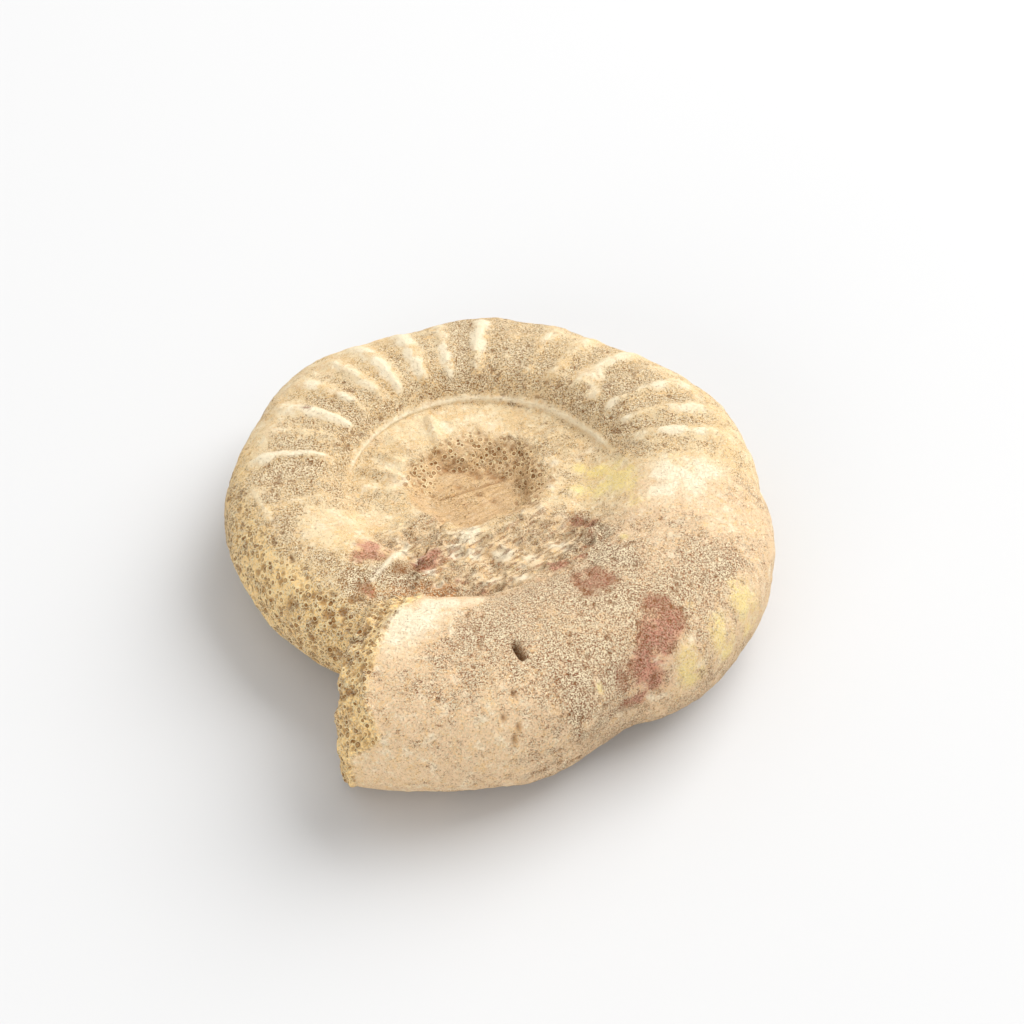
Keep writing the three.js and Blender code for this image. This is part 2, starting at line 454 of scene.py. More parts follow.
RIBS_PER_WHORL = 36  # on the underside, where they are even
RIB_HEIGHT = 0.5
RIB_HALF_WIDTH = 3.0  # degrees
CREST_HEIGHT = 0.35
CREST_HALF_WIDTH = 1.5
CHALK_HALF_WIDTH = 2.25
RIB_LEAN = 13  # degrees of azimuth for each share of the radius, on the ribs at either side
RIB_MIDDLE = 0.7
RIB_STARTS = (0.52, 0.6)  # the shares between which a rib comes up, and those between which it goes down
RIB_ENDS = (0.82, 0.95)
UNDER_RIB_HEIGHT = 0.4
UNDER_RIB_STARTS = (0.5, 0.6)
UNDER_RIB_ENDS = (0.84, 1)
# The ribs that still show on the upper side of the outer whorl: azimuth, how much is left, and how chalky
RIBS = [
    (193, 0.6, 0.2), (184, 0.45, 0.3), (172, 1, 0.9), (161.3, 0.55, 0.3), (151.3, 1, 0.9),
    (140.3, 0.7, 0.5), (130, 0.9, 0.5), (121, 1, 1), (109.5, 1, 1.2), (98.6, 0.8, 1.1), (87.8, 1, 1.3),
    (78, 0.4, 0.2), (68, 0.5, 0.3), (58.5, 0.8, 0.3), (47.5, 0.9, 0.6), (38.5, 0.7, 0.2), (31, 1, 0.6),
    (21.5, 1, 0.5), (12, 1, 0.7),
]

# Short ridges that cross the ring: azimuth and how high they stand
RING_RIDGES = [(137, 0.6), (150, 0.7), (164, 1), (178, 0.7), (8, 0.5), (20, 0.8), (31, 0.9), (43, 0.6)]
RING_RIDGE_HEIGHT = 0.75
RING_RIDGE_HALF_WIDTH = 3.2
RING_RIDGE_DEPTHS = (0.95, 1.2)
RING_RIDGE_ENDS = (0.42, 0.48)


def rib_crests(places, strengths, half_width):
    """The given strength along the crest of each rib that still shows, and 0 in the grooves."""
    lean = RIB_LEAN * (places.share - RIB_MIDDLE) * np.cos(np.radians(places.azimuth))
    crests = np.zeros(len(places.plan))
    for (azimuth, _, _), strength in zip(RIBS, strengths):
        crests = np.maximum(crests, strength * bell(places.away(azimuth - lean), half_width))
    flank = smoothstep(places.share, *RIB_STARTS) * (1 - smoothstep(places.share, *RIB_ENDS))
    return crests * flank * places.outer * places.upper


def ring_ridges(places):
    ridges = np.zeros(len(places.plan))
    for azimuth, height in RING_RIDGES:
        ridges = np.maximum(ridges, height * bell(places.away(azimuth), RING_RIDGE_HALF_WIDTH))
    outside_pit = smoothstep(places.depth, *RING_RIDGE_DEPTHS)
    return ridges * outside_pit * (1 - smoothstep(places.share, *RING_RIDGE_ENDS)) * places.upper


def rib_relief(places):
    kept = [kept for _, kept, _ in RIBS]
    relief = RIB_HEIGHT * rib_crests(places, kept, RIB_HALF_WIDTH)
    relief += CREST_HEIGHT * rib_crests(places, kept, CREST_HALF_WIDTH)
    flank = smoothstep(places.across, *UNDER_RIB_STARTS) * (1 - smoothstep(places.across, *UNDER_RIB_ENDS))
    under = np.cos(RIBS_PER_WHORL * places.turn) / 2 * flank * (1 - places.upper)
    return relief + UNDER_RIB_HEIGHT * under + RING_RIDGE_HEIGHT * ring_ridges(places)


# ---- Markings --------------------------------------------------------------------------------------------

# Stains: azimuth, reach, width in millimetres and strength of each spot
REDS = [
    (-131, 0.40, 3.0, 1.1), (-131, 0.45, 2.2, 0.8), (-120, 0.535, 1.5, 1), (-107, 0.33, 2.8, 1.1),
    (-109, 0.36, 2.4, 1), (-99.5, 0.30, 1.5, 0.7), (-29.5, 0.351, 2, 0.9), (-28.6, 0.40, 1.6, 0.8),
    (-57, 0.47, 1.8, 1.1), (-55.5, 0.594, 2.6, 1.1), (-52, 0.625, 2.2, 1), (-58, 0.64, 2, 0.6),
    (-50, 0.49, 1.2, 0.8), (-66, 0.50, 1.2, 0.6), (-92, 0.40, 1.2, 0.7), (-84, 0.46, 1.2, 0.5),
    (-116, 0.42, 1.6, 0.6), (-44, 0.47, 1.4, 0.7), (-37, 0.44, 1.2, 0.6), (-48.5, 0.779, 2.4, 0.9),
    (-48.1, 0.819, 2.6, 1), (-51, 0.835, 2.8, 1.1), (-53.3, 0.85, 2.6, 1.1), (-55.3, 0.857, 2.5, 1.2),
    (-57.4, 0.862, 2.1, 1.1), (-60.7, 0.87, 1.8, 0.6), (-47.5, 0.75, 2, 0.5),
]
OCHRES = [
    (-118, 0.52, 2, 1), (-111.6, 0.48, 2.6, 1.2), (-105, 0.475, 2.6, 1.3), (-98, 0.467, 2.2, 1.1),
    (137, 0.305, 1.2, 0.5), (-96, 0.42, 1.6, 0.6), (91, 0.53, 1.6, 0.5), (94, 0.58, 1.6, 0.4),
]
YELLOWS = [
    (12, 0.335, 1.8, 1), (5, 0.383, 2.2, 1.2), (-2, 0.447, 2.4, 1.1), (-4.4, 0.386, 3, 0.9),
    (-4.1, 0.324, 2, 0.6), (-6.5, 0.463, 3.4, 0.9), (-17, 0.513, 3.6, 0.4), (-35.2, 0.538, 1, 1.3),
    (-72, 0.391, 1.8, 0.5), (-66, 0.359, 1.3, 0.5), (-42.6, 0.831, 0.8, 0.9), (-48.6, 0.91, 2.6, 0.8),
    (-46.9, 0.928, 2.4, 0.5), (-32, 0.90, 3.6, 0.8), (-122, 0.29, 2, 0.3), (-66, 0.88, 0.7, 0.9),
    (-40, 0.92, 3.2, 0.8), (2, 0.42, 3.2, 0.8),
]
GREYS = [
    (-44.7, 0.548, 3.2, 1.1), (-37.6, 0.457, 3.4, 1.1), (-46.6, 0.43, 2.2, 0.8), (-27, 0.36, 2.4, 1),
    (-44.5, 0.60, 2.6, 1), (-31, 0.42, 1.8, 0.7), (-120, 0.475, 2.6, 0.8), (-113.4, 0.45, 2.6, 0.8),
    (-111.6, 0.367, 2.4, 0.6), (-124, 0.53, 2.6, 0.5), (-71, 0.86, 4, 0.6), (-63, 0.85, 3.4, 0.6),
    (-57, 0.66, 4, 0.4), (38.2, 0.54, 1.6, 0.8), (33.5, 0.57, 1.6, 0.8), (151, 0.565, 1.1, 0.7),
    (-101, 0.70, 2.6, 0.4),
]
BROWNS = [
    (-29.2, 0.837, 1.2, 0.9), (-32.1, 0.825, 1.4, 0.9), (-35.5, 0.82, 1.2, 0.6), (-46.8, 0.975, 1.7, 1),
    (-37.2, 0.571, 0.6, 1), (-70.6, 0.928, 1.7, 0.7), (-67, 0.92, 1.6, 0.5), (-56, 0.915, 2, 0.4),
    (-50.5, 0.875, 1.4, 0.4), (72, 0.397, 0.9, 0.9), (-81.3, 0.265, 0.8, 0.7), (-78, 0.27, 0.8, 0.7),
    (-99, 0.40, 1.6, 0.5), (-92, 0.93, 0.8, 0.6), (-126, 0.51, 2.2, 0.8), (-116, 0.43, 2.8, 0.9),
    (-107, 0.43, 2.4, 0.8), (-88, 0.36, 0.8, 0.8), (-76, 0.34, 0.8, 0.7), (-72, 0.44, 1, 0.6),
    (-62, 0.44, 0.8, 0.7), (-97, 0.35, 0.7, 0.7), (-107, 0.27, 0.9, 0.7), (-57, 0.30, 0.7, 0.7),
    (-38, 0.28, 0.8, 0.6), (38, 0.33, 1, 0.5), (30, 0.36, 1, 0.5), (62, 0.33, 0.8, 0.5),
    (-20, 0.30, 0.9, 0.6), (-8, 0.28, 0.9, 0.6),
]
PALES = [
    (-102, 0.67, 4.2, 1.1), (-98.3, 0.61, 3.2, 1.1), (-93.9, 0.574, 2.4, 0.9), (-88, 0.568, 1.8, 0.7),
    (-104, 0.74, 3.4, 0.7), (-156, 0.30, 2, 0.4), (-151, 0.41, 4.5, 0.45), (-150, 0.50, 4, 0.35),
    (-8, 0.64, 4.2, 1), (-4, 0.67, 3.8, 0.9), (-14, 0.57, 3.2, 0.8), (-5, 0.576, 3.4, 0.9),
    (-16, 0.70, 4, 0.3), (-20, 0.76, 4, 0.3), (-92, 0.232, 2, 1.2), (-97, 0.278, 2, 1.2),
    (-85, 0.205, 1.4, 1), (106, 0.295, 1.2, 0.9), (104.5, 0.265, 1, 0.8), (164, 0.20, 1.2, 0.8),
    (90, 0.30, 2.4, 0.6), (78, 0.29, 2.4, 0.6), (47, 0.545, 2.2, 0.6), (42, 0.50, 1.8, 0.7),
    (-3, 0.61, 1.2, 0.8), (-86, 0.30, 2, 0.9), (-70, 0.31, 2.2, 0.9), (-80, 0.41, 1.8, 0.5),
    (-60, 0.37, 2, 0.9), (-46, 0.38, 1.8, 0.9), (-33, 0.33, 1, 1), (-70, 0.45, 1.6, 0.8),
    (-100, 0.44, 1, 0.9), (-105, 0.39, 1.2, 0.7), (-114, 0.34, 1.2, 0.6), (170, 0.22, 1.4, 0.6),
    (176, 0.30, 1.6, 0.5), (155, 0.25, 1.6, 0.5), (-2, 0.24, 1.2, 0.7), (20, 0.27, 1.2, 0.6),
    (-30, 0.24, 1.2, 0.6),
]
# The spots of each stain, their width and strength as shares of what is listed, and how ragged they are
STAINS = {
    "red": (REDS, 1.12, 0.9, 1.3),
    "ochre": (OCHRES, 1, 1, 1.2),
    "yellow": (YELLOWS, 1, 1, 1.2),
    "grey": (GREYS, 1, 1, 1),
    "brown": (BROWNS, 1, 1, 1),
    "pale_and_edge_highlight": (PALES, 1, 1, 1.2),
}
CREST_RAGGEDNESS = 2.6

# Round pits, listed as the stains are
PITS = [
    (118, 0.156, 1.1, 1), (110, 0.145, 1, 1), (101, 0.142, 1.1, 1), (88, 0.13, 1.1, 1), (79, 0.118, 1.1, 1),
    (67, 0.144, 1.1, 1), (57.5, 0.135, 1.1, 1), (47, 0.144, 1.1, 1), (118.7, 0.07, 0.9, 0.8),
    (47.2, 0.042, 0.7, 0.8), (-0.5, 0.072, 0.7, 0.8), (-81.5, 0.88, 0.5, 1), (-83.5, 0.925, 0.4, 1),
    (-81.2, 0.94, 0.4, 1), (-82, 0.955, 0.35, 1), (-127.3, 0.275, 0.6, 1), (-137, 0.67, 1, 1),
]

# Zones: two azimuths, two shares and a strength for each
ROSY_ZONES = [(-112, -4, 0.52, 1.1, 1), (-140, -20, 0.22, 0.52, 0.5)]
ROSY_UNEVENNESS = 0.2
HONEY_ZONES = [(-168, -112, 0.86, 1.1, 1), (165, -168, 0.9, 1.1, 0.7)]
HONEY_RAGGEDNESS = 0.5
ROUGH_ZONES = [(-145, -25, 0.20, 0.50, 1), (-60, -30, 0.50, 0.60, 0.5), (20, 60, 0.30, 0.44, 0.4)]
BREAK_ROUGHNESS = 0.6
BREAK_SKIN = 1.2  # how deep in millimetres the broken face's own looks go
PIT_EDGE = (0.86, 1.1)  # depths
WALL_DEPTHS = (0.5, 0.7)
WALL_AZIMUTHS = (-30, 170, 10)  # where the pit's wall is porous, and how softly that ends

# Zones where the stone is speckled, or calm where the strength is negative
GRAIN_ZONES = [
    (20, 165, 0.50, 0.58, 0.2), (5, 52, 0.55, 0.84, 0.25), (60, 84, 0.60, 0.72, 0.3),
    (90, 96, 0.58, 0.9, 0.5), (141, 150, 0.56, 0.76, 0.3), (162, 171, 0.60, 0.85, 0.2),
    (173, 182, 0.60, 0.85, 0.5), (185, 192, 0.62, 0.84, 0.2), (-165, -150, 0.72, 0.86, 0.15),
    (-160, -112, 0.72, 0.84, 0.3), (-88, -40, 0.54, 0.90, 0.28), (-96, -85, 0.70, 0.82, 0.25),
    (-140, -20, 0.26, 0.50, 0.05), (-45, -22, 0.78, 0.95, 0.35), (60, 130, 0.30, 0.47, -0.3),
    (-176, -140, 0.40, 0.70, -0.08), (-24, 4, 0.52, 0.82, -0.02), (-112, -80, 0.93, 1.1, -0.2),
    (100, 175, 0.80, 1.0, -0.2), (-30, 60, 0.75, 1.1, -0.1),
]
# What the grain adds up from: an even part, two noises, the grooves, the ribs' crests and the other marks
EVEN_GRAIN = 0.33
BROAD_GRAIN = 0.22
FINE_GRAIN = 0.2
GROOVE_GRAIN = 0.12
RIBBED_AZIMUTHS = (8, 200, 6)
RIB_GRAIN = -0.15
GRAIN_SHARES = {
    "grey": 0.5,
    "brown": 0.3,
    "red": 0.1,
    "pit": -0.1,
    "yellow": -0.4,
    "crest": -0.45,
    "pale_and_edge_highlight": -0.7,
}

BROAD_LUMPS = (9, 11)  # size in millimetres, and seed
FINE_LUMPS = (2.2, 23, 4)  # and the number of layers


def ragged(cover, noise):
    """Breaks up the edges and the inside of what covers the surface."""
    return np.clip(cover * (1 + noise), 0, 1)


def grain_cover(places, marks, broad, fine):
    """How speckled the stone is."""
    crests = rib_crests(places, [kept for _, kept, _ in RIBS], RIB_HALF_WIDTH)
    grooves = places.within(*RIBBED_AZIMUTHS) * (1 - crests) * places.outer * places.upper
    grain = EVEN_GRAIN + BROAD_GRAIN * broad + FINE_GRAIN * fine + GROOVE_GRAIN * grooves + RIB_GRAIN * crests
    for name, share in GRAIN_SHARES.items():
        grain += share * marks[name]
    return np.clip(grain + places.zones(GRAIN_ZONES), 0, 1)


def surface_marks(points, places, unit):
    """What covers each point, as named shares from 0 to 1. A unit is a millimetre in the coil's frame."""
    broad = layered(points, *BROAD_LUMPS)
    fine = layered(points, *FINE_LUMPS)
    chalk = rib_crests(places, [chalk for _, _, chalk in RIBS], CHALK_HALF_WIDTH)
    broken = (1 - smoothstep(places.from_end, 0, BREAK_SKIN * unit)) * places.outer
    pit = (1 - smoothstep(places.depth, *PIT_EDGE)) * places.upper
    marks = {
        "crest": ragged(chalk, CREST_RAGGEDNESS * fine),
        "rosy": np.clip(places.zones(ROSY_ZONES) + ROSY_UNEVENNESS * broad, 0, 1),
        "honey": np.maximum(ragged(places.zones(HONEY_ZONES), HONEY_RAGGEDNESS * fine), broken),
        "rough": np.maximum(places.zones(ROUGH_ZONES), BREAK_ROUGHNESS * broken),
        "pit": pit,
        "wall": pit * smoothstep(places.depth, *WALL_DEPTHS) * places.within(*WALL_AZIMUTHS),
        # the round pits are painted dark brown, partly their fill and partly painted shade
        "hollow_fill_and_shade": places.spots(PITS, unit),
    }
    for name, (spots, spread, strength, raggedness) in STAINS.items():
        marks[name] = ragged(strength * places.spots(spots, spread * unit), raggedness * fine)
    marks["grain"] = grain_cover(places, marks, broad, fine)
    return marks


# ---- Fine shapes, along the surface's normal, in millimetres ---------------------------------------------

# Lumps of the whole stone, and of its rough zones: size, height and seed
LUMP_LAYERS = [(17, 0.45, 41), (6, 0.28, 43), (2.4, 0.13, 47), (1.1, 0.1, 53)]
ROUGH_LAYERS = [(3.2, 1.3, 81), (1.4, 0.8, 83)]
STREAKS = [(38, 91), (75, 97)]  # directions and seeds
STREAK_SIZE = (9, 1.5)  # length and width
STREAK_HEIGHT = 0.6
GRAIN_DEPTH = 0.18

# Kinds of pores: their spacing in millimetres, their radius as a share of it, and a seed
HONEY_PORES = (1.65, 0.52, 61)
WALL_PORES = (1.05, 0.45, 67)
GRAIN_PORES = (1.2, 0.4, 71)
PORE_SIZES = (0.7, 1.3)  # from the smallest to the largest of a kind
PORE_FLOOR = 0.6  # how much of a pore's radius is flat
COARSE_AZIMUTHS = (-150, -112, 12)  # where the pores of the honey-coloured stone are large
COARSE_UNEVENNESS = 0.5
# How many pores there are for each share of cover
HONEY_PORE_SHARE = 0.7
WALL_PORE_SHARE = 0.6
GRAIN_PORE_SHARE = 0.5
LEAST_GRAIN = 0.15  # calmer stone has none
PORE_DEPTH = 0.28
SMALL_PORE_DEPTH = 0.2
SMALL_PORE_SHADE = 0.8
PIT_DEPTH = 0.55  # of the round pits

# Thin pale lines that stand out: two places, width and height in millimetres
PALE_LINES = [
    ((-127.3, 0.285), (-121, 0.41), 0.8, 0.5), ((-121, 0.41), (-121.1, 0.50), 0.8, 0.45),
    ((-93.6, 0.62), (-92.3, 0.73), 0.6, 0.1), ((-175, 0.63), (-165.6, 0.60), 0.5, 0.12),
    ((-165.6, 0.60), (-158.4, 0.585), 0.5, 0.12),
]
LINE_SHADE = 0.4  # how pale a line is before its height is added
LINE_CALM = 0.7  # how free of grain it is

RING_EDGE_AZIMUTHS = (18, 168, 8)
RING_EDGE_SHARE = 0.497
RING_EDGE_WIDTH = 0.007
RING_EDGE_HEIGHT = 0.35
# how strongly a highlight is painted along the ring's raised edge
RING_EDGE_HIGHLIGHT = 0.8

SPINE = ((111.5, 0.335), (116, 0.215))
SPINE_WIDTH = 1.1
SPINE_HEIGHT = 0.9

HOLE = ((-79.5, 0.748), (-78.6, 0.786))
HOLE_WIDTH = 0.6
HOLE_DEPTH = 2.2
CRACKS = [((176.9, 0.089), (87.6, 0.05)), ((87.6, 0.05), (45.7, 0.125))]
CRACK_WIDTH = 0.28
CRACK_DEPTH = 0.4
CRACK_SHADE = 0.8


def lumpy(points, rough):
    """Lumps all over, and sharp ridges and streaks where the stone is rough."""
    torn = np.zeros(len(points))
    for size, height, seed in ROUGH_LAYERS:
        torn += height * ridged(lumps(points, size, seed))
    for degrees, seed in STREAKS:
        torn += STREAK_HEIGHT * ridged(streaks(points, degrees, *STREAK_SIZE, seed))
    return rough * torn + sum(height * lumps(points, size, seed) for size, height, seed in LUMP_LAYERS)


def pores(points, cover, kind):
    """Round pores in the covered places: 1 inside each, 0 between them. The more cover, the more of them."""
    spacing, radius, seed = kind
    smallest, largest = PORE_SIZES
    inside = cover > 0
    hollow_fill_and_shade = np.zeros(len(points))
    nearest, number = nearest_seed(points[inside], spacing, seed)
    size = radius * (largest - (largest - smallest) * number)
    hollow_fill_and_shade[inside] = (1 - smoothstep(nearest, PORE_FLOOR * size, size)) * (number < cover[inside])
    return hollow_fill_and_shade


def bored_depth(points, places, marks):
    """The depth of pores and pits. Adds the pores to the mark of dark brown fill and painted shade in
    hollows.
    """
    uneven = COARSE_UNEVENNESS * layered(points, *BROAD_LUMPS)
    coarse = np.clip(places.within(*COARSE_AZIMUTHS) + uneven, 0, 1)
    large = pores(points, HONEY_PORE_SHARE * marks["honey"] * coarse, HONEY_PORES)
    wall = WALL_PORE_SHARE * np.maximum(marks["wall"], marks["honey"] * (1 - coarse))
    grain = GRAIN_PORE_SHARE * marks["grain"] - LEAST_GRAIN
    small = np.maximum(pores(points, wall, WALL_PORES), pores(points, grain, GRAIN_PORES))
    depth = PORE_DEPTH * large + SMALL_PORE_DEPTH * small + PIT_DEPTH * marks["hollow_fill_and_shade"]
    # pores are painted dark brown, partly their fill and partly painted shade
    marks["hollow_fill_and_shade"] = np.maximum.reduce([marks["hollow_fill_and_shade"], large, SMALL_PORE_SHADE * small])
    return depth


def line_height(places, marks, unit):
    """The height of the ring's edge, the spine and the thin lines. Marks a painted highlight along the edge,
    and the lines as pale.
    """
    edge = bell(places.share - RING_EDGE_SHARE, RING_EDGE_WIDTH)
    edge *= places.within(*RING_EDGE_AZIMUTHS) * places.upper
    spine = bell(places.from_line(*SPINE), SPINE_WIDTH * unit) * places.upper
    relief = RING_EDGE_HEIGHT * edge + SPINE_HEIGHT * spine
    # a painted highlight along the ring's raised edge, kept with the pale marks
    marks["pale_and_edge_highlight"] = np.maximum(marks["pale_and_edge_highlight"], RING_EDGE_HIGHLIGHT * edge)
    for start, end, width, height in PALE_LINES:
        line = bell(places.from_line(start, end), width * unit) * places.upper
        relief += height * line
        marks["pale_and_edge_highlight"] = np.maximum(marks["pale_and_edge_highlight"], (LINE_SHADE + height) * line)
    marks["grain"] = np.clip(marks["grain"] - LINE_CALM * marks["pale_and_edge_highlight"], 0, 1)
    return relief


def slot_depth(places, marks, unit):
    """The depth of the deep hole and of the cracks. Marks them to be painted dark as their shade."""
    hole = bell(places.from_line(*HOLE), HOLE_WIDTH * unit) * places.upper
    cracks = [bell(places.from_line(*line), CRACK_WIDTH * unit) for line in CRACKS]
    crack = np.maximum.reduce(cracks) * places.upper
    # the hole and the cracks are painted dark: painted shade of their depth
    marks["hollow_fill_and_shade"] = np.maximum.reduce([marks["hollow_fill_and_shade"], hole, CRACK_SHADE * crack])
    return HOLE_DEPTH * hole + CRACK_DEPTH * crack


def fine_relief(points, places, marks, unit):
    """How far the surface stands out from the worn coil. Adds its pores, lines and slots to the marks."""
    relief = rib_relief(places) + lumpy(points, marks["rough"]) - GRAIN_DEPTH * marks["grain"]
    relief -= bored_depth(points, places, marks)
    relief += line_height(places, marks, unit)
    return relief - slot_depth(places, marks, unit)


def store_marks(mesh, marks):
    """Stores each mark as a value at each point, which the material reads by the mark's name."""
    for name, values in marks.items():
        attribute = mesh.attributes.new(name, "FLOAT", "POINT")
        attribute.data.foreach_set("value", values.astype(np.float32))


def fossil():
    """The stone: swept, made one even skin, worn, given its fine shapes and its marks, and lightened."""
    points, faces = coil_surface()
    rest = Rest(points)
    mesh = bpy.data.meshes.new("ammonite_stone")
    mesh.from_pydata(rest.lay(points).tolist(), [], faces)
    stone = bpy.data.objects.new("ammonite_stone", mesh)
    bpy.context.scene.collection.objects.link(stone)
    mesh = even_mesh(stone)

    unit = 1 / rest.radius
    worn = worn_shape(rest.unlay(read_vectors(mesh.vertices, "co")), rest.radius)
    points = rest.lay(worn)
    write_positions(mesh, points)
    normals = read_vectors(mesh.vertex_normals, "vector")
    places = Places(worn)
    marks = surface_marks(points, places, unit)
    points += normals * fine_relief(points, places, marks, unit)[:, None]
    points[:, 2] = np.maximum(points[:, 2], 0)
    write_positions(mesh, points)
    store_marks(mesh, marks)

    mesh = lighten(stone)
    write_positions(mesh, read_vectors(mesh.vertices, "co") * MM)
    mesh.shade_smooth()
    return stone


# ---- Nodes -----------------------------------------------------------------------------------------------

PER_METRE = 1000  # texture scales are given per millimetre, and the scene is in metres
CELL_VARIETY = 0.3

# The colour sockets of a mix node, which has others of the same names
MIX_FIRST = 6
MIX_SECOND = 7
MIX_RESULT = 2


def linear(channel):
    """A channel of a screen colour, as the light value that a shader takes."""
    part = channel / 255
    return part / 12.92 if part <= 0.04045 else ((part + 0.055) / 1.055) ** 2.4


def shade(red, green, blue):
    """A screen colour, given with channels from 0 to 255."""
    return (linear(red), linear(green), linear(blue), 1)


class Nodes:
    """A material's node tree, built a node at a time."""

    def __init__(self, material):
        material.use_nodes = True
        self.tree = material.node_tree
        self.shader = self.tree.nodes["Principled BSDF"]
        place = self.tree.nodes.new("ShaderNodeTexCoord")
        self.place = place.outputs["Object"]

    def fill(self, node, inputs):
        for name, value in inputs.items():
            socket = node.inputs[name]
            if isinstance(value, bpy.types.NodeSocket):
                self.tree.links.new(value, socket)
            else:
                socket.default_value = value

    def mark(self, name):
        node = self.tree.nodes.new("ShaderNodeAttribute")
        node.attribute_name = name
        return node.outputs["Fac"]

    def noise(self, per_mm, detail, roughness, place=None):
        node = self.tree.nodes.new("ShaderNodeTexNoise")
        self.fill(node, {"Vector": place or self.place, "Scale": per_mm * PER_METRE})
        self.fill(node, {"Detail": detail, "Roughness": roughness})
        return node.outputs["Fac"]

    def drawn_out(self, degrees, stretch, per_mm, detail, roughness):
        """Noise drawn out in one level direction."""
        node = self.tree.nodes.new("ShaderNodeMapping")
        node.vector_type = "TEXTURE"
        turned = (0, 0, math.radians(degrees))
        self.fill(node, {"Vector": self.place, "Rotation": turned, "Scale": (stretch, 1, 1)})
        return self.noise(per_mm, detail, roughness, node.outputs["Vector"])

    def cells(self, per_mm):
        """How far away the nearest of many strewn points is, in cells, less a random part."""
        node = self.tree.nodes.new("ShaderNodeTexVoronoi")
        self.fill(node, {"Vector": self.place, "Scale": per_mm * PER_METRE})
        return self.sum(node.outputs["Distance"], node.outputs["Color"], -CELL_VARIETY)

    def sum(self, first, second, factor=1):
        """first + second * factor"""
        node = self.tree.nodes.new("ShaderNodeMath")
        node.operation = "MULTIPLY_ADD"
        self.fill(node, {0: second, 1: factor, 2: first})
        return node.outputs[0]

    def times(self, first, second):
        node = self.tree.nodes.new("ShaderNodeMath")
        node.operation = "MULTIPLY"
        self.fill(node, {0: first, 1: second})
        return node.outputs[0]

    def step(self, value, low, high, bottom=0.0, top=1.0):
        """bottom below low, top above high, and a smooth run between."""
        node = self.tree.nodes.new("ShaderNodeMapRange")
        node.interpolation_type = "SMOOTHSTEP"
        limits = {"Value": value, "From Min": low, "From Max": high, "To Min": bottom, "To Max": top}
        self.fill(node, limits)
        return node.outputs["Result"]

    def mix(self, share, first, second):
        """The first colour, covered by this share of the second."""
        node = self.tree.nodes.new("ShaderNodeMix")
        node.data_type = "RGBA"
        node.clamp_factor = True
        self.fill(node, {"Factor": share, MIX_FIRST: first, MIX_SECOND: second})
        return node.outputs[MIX_RESULT]

    def bump(self, height, distance, strength):
        node = self.tree.nodes.new("ShaderNodeBump")
        self.fill(node, {"Height": height, "Distance": distance, "Strength": strength})
        return node.outputs["Normal"]


# ---- Limestone -------------------------------------------------------------------------------------------

# A noise is given as its coarseness per millimetre, its detail and its roughness. A run is two values of a
# pattern: below the first nothing is covered, and above the second all is. Two more values replace 0 and 1.

CREAM = shade(240, 217, 175)
TAN = shade(228, 196, 146)
TAN_NOISE = (0.2, 6, 0.65)
TAN_RUN = (0.4, 0.62)
ROSE = shade(234, 201, 161)
# a chalky white, which also paints the highlight along the ring's raised edge
CHALK_AND_HIGHLIGHT = shade(250, 236, 206)
EARTH = shade(230, 188, 128)
DULL_EARTH = shade(212, 166, 124)  # dull colours are those of the rosy zones
PATCHES = [
    (ROSE, (0.3, 5, 0.7), (0.5, 0.64, 0.0, 0.5)),
    (CHALK_AND_HIGHLIGHT, (0.45, 5, 0.7), (0.52, 0.64, 0.0, 0.65)),
    (EARTH, (0.7, 6, 0.75), (0.48, 0.62, 0.0, 0.6)),
]
PIT_BROWN = shade(212, 172, 124)
PIT_COVER = 0.7
HONEY = shade(255, 216, 148)

# Stains, in the order in which they cover each other: name, colour and most cover
STAIN_COLOURS = [
    ("crest", CHALK_AND_HIGHLIGHT, 0.85),
    ("yellow", shade(244, 222, 136), 0.6),
    ("ochre", shade(200, 136, 78), 0.85),
    ("grey", shade(152, 112, 88), 0.85),
    ("red", shade(180, 86, 86), 0.6),
    ("brown", shade(138, 102, 62), 0.8),
    # the pale colour also paints the highlight along the ring's raised edge
    ("pale_and_edge_highlight", CHALK_AND_HIGHLIGHT, 0.85),
]
STAIN_RUN = (0.9, 1.65)
TORN_NOISE = (1.1, 5, 0.75)
TORN_SHARE = 1.5

# Clumps of specks, with earthy stone under them and light grains between them
CLUMP_NOISE = (0.5, 8, 0.75)
CLUMP_SHARE = 1.8
CLUMP_RUN = (0.92, 1.8)
EARTH_COVER = 0.85
FINE_NOISE = (3.3, 3, 0.75)
SPECK = shade(140, 84, 22)
DULL_SPECK = shade(138, 80, 44)
SPECKS_IN_CLUMPS = 0.17  # how much the clumps add to the noise that the specks come from
SPECK_RUN = (0.6, 0.64)
SPECK_COVER = (0.0, 0.6, 0.5, 0.92)
GLINT = shade(252, 234, 196)
GLINT_NOISE = (3.8, 3, 0.75)
GLINTS_IN_CLUMPS = 0.09
GLINT_RUN = (0.55, 0.6)
GLINTS_IN_PIT = (0.2, 0.8, 0.95, 0.5)
GLINTS_IN_RED = (0.1, 0.6, 1.0, 0.3)

# Rust-coloured lines in rough stone, which are drawn out in one direction, and some in the pit
RUST = shade(160, 98, 60)
RUST_COVER = 0.55
LINE_DEGREES = 38
LINE_STRETCH = 7
LINE_NOISE = (1.5, 3, 0.65)
LINE_RUN = (0.52, 0.6)
LINES_IN_PIT = 0.35

# Pores and pits, painted dark brown: partly their fill and partly painted shade
# A pattern of more pores in honey-coloured stone and in the pit's wall, with painted highlights on their rims
HOLLOW_FILL_AND_SHADE = shade(140, 82, 18)
HOLLOW_FILL_AND_SHADE_COVER = 0.6
